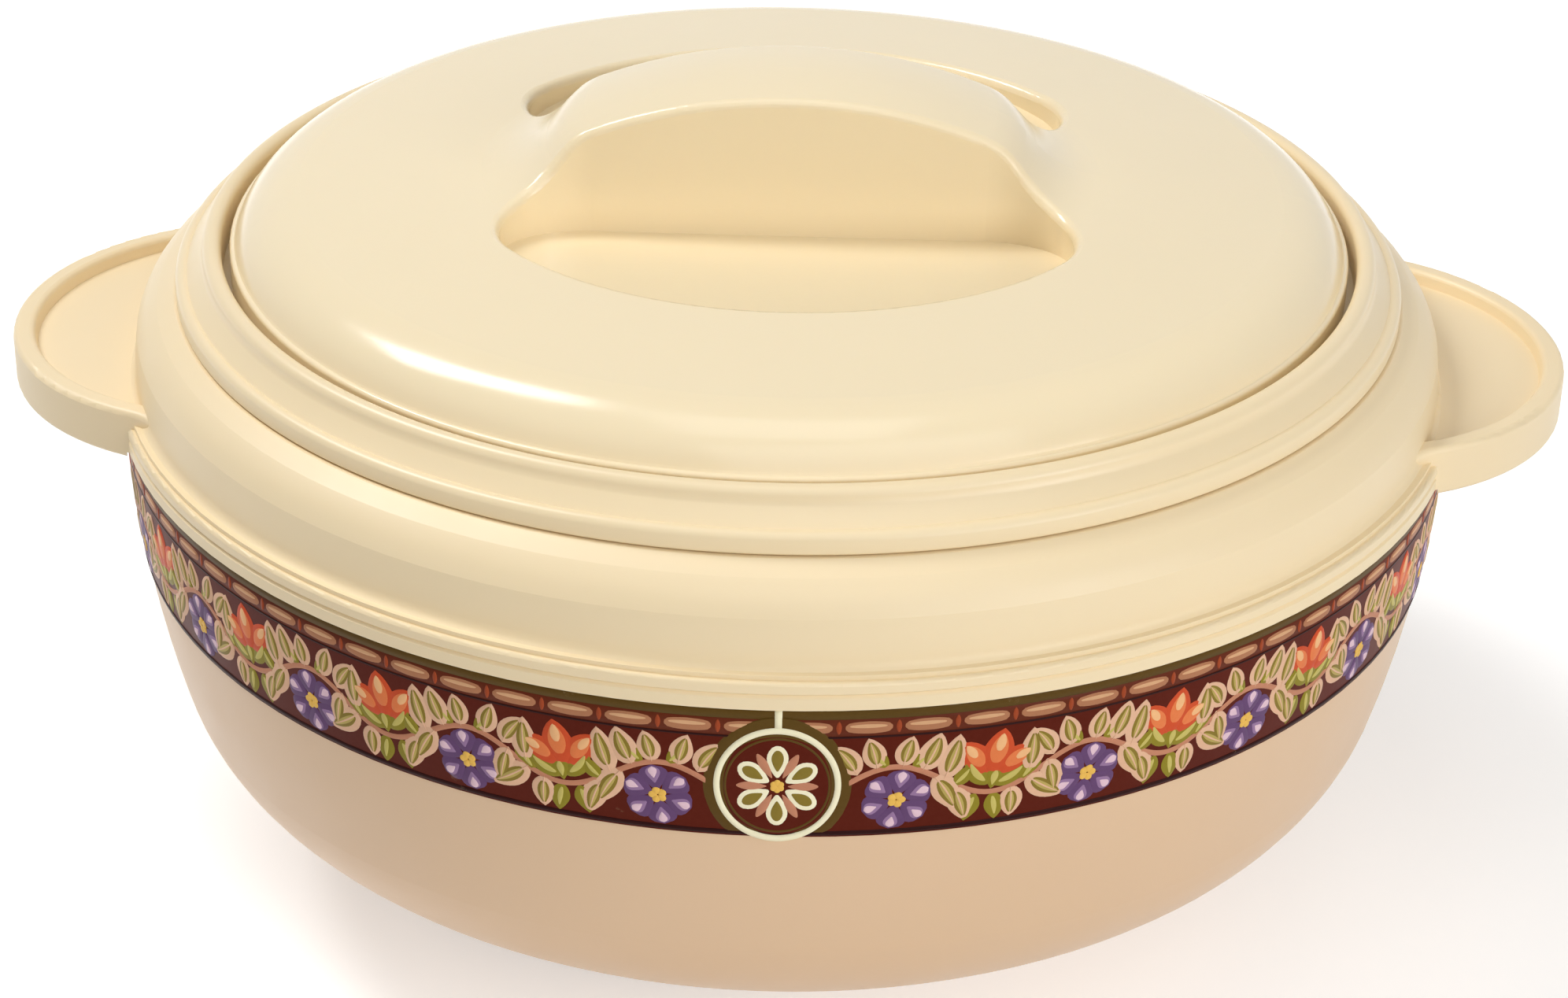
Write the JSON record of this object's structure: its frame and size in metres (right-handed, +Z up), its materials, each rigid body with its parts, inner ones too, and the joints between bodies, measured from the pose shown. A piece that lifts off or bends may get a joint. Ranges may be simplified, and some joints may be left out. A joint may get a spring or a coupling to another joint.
{
  "type": "insulated chapati casserole",
  "caption": "Round insulated casserole with a lift-off domed lid, recessed bar handle, side ears, printed band and steel inner bowl.",
  "frame": {"origin": "centre of the foot ring's lower face, on the table, on the casserole's upright axis", "axes": "+Z up along the upright axis, +X towards one ear, -Y towards the side that is seen from the front; the lid's handle lies along X at rest"},
  "size_m": [0.307, 0.2624, 0.1634],
  "materials": {
    "cream_plastic": "gloss",
    "bowl_plastic": "gloss",
    "band_print": "gloss",
    "bowl_steel": "satin",
    "insulating_foam": "matte",
    "seal_rubber": "matte",
    "cap_plastic": "satin"
  },
  "bodies": {
    "base": {"outer_bowl": "bowl_plastic", "printed_band": "band_print", "base_cap": "cap_plastic", "ear_collar": "cream_plastic", "rim_ring": "cream_plastic", "steel_bowl": "bowl_steel", "body_foam": "insulating_foam"},
    "seal": {"lid_seal": "seal_rubber"},
    "lid": {"lid_shell": "cream_plastic", "lid_liner": "cream_plastic", "lid_foam": "insulating_foam", "lid_plug": "cap_plastic"}
  },
  "joints": [
    {"name": "lid_lift", "type": "slide", "parent": "base", "child": "seal", "axis": [0, 0, 1], "range_m": [0, 0.08]},
    {"name": "lid_turn", "type": "hinge", "parent": "seal", "child": "lid", "pos_m": [0, 0, 0.125], "axis": [0, 0, 1], "continuous": true}
  ]
}
